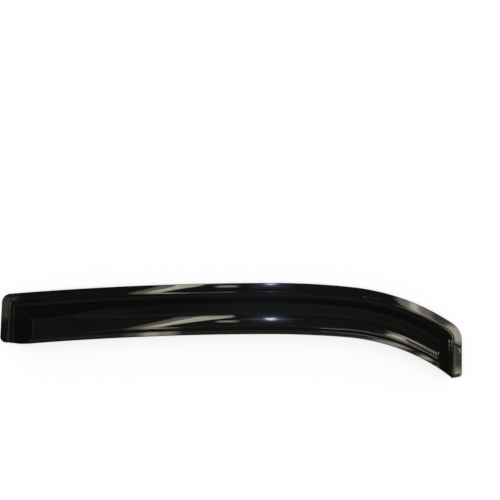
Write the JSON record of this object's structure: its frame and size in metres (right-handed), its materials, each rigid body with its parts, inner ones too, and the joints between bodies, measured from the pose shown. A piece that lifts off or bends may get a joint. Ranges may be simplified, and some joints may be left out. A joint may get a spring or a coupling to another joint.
{
  "type": "window rain deflector",
  "caption": "Gloss black side-window visor: a flat taped flange around a hollow, outward-curved brow that is open along its lower edge and sheds rain over a lowered window.",
  "frame": {"origin": "middle of the plan outline, on the back of the foam tape, which is the face that goes on the door frame", "axes": "+X from the front end to the rear end, +Y up the door, +Z out from the door"},
  "size_m": [0.6796, 0.1402, 0.0238],
  "materials": {
    "visor": "polished black acrylic sheet",
    "tape": "dark grey closed-cell foam tape"
  },
  "bodies": {
    "root": {"visor": "visor", "top_tape": "tape", "front_end_tape": "tape", "rear_end_tape": "tape"}
  },
  "joints": []
}
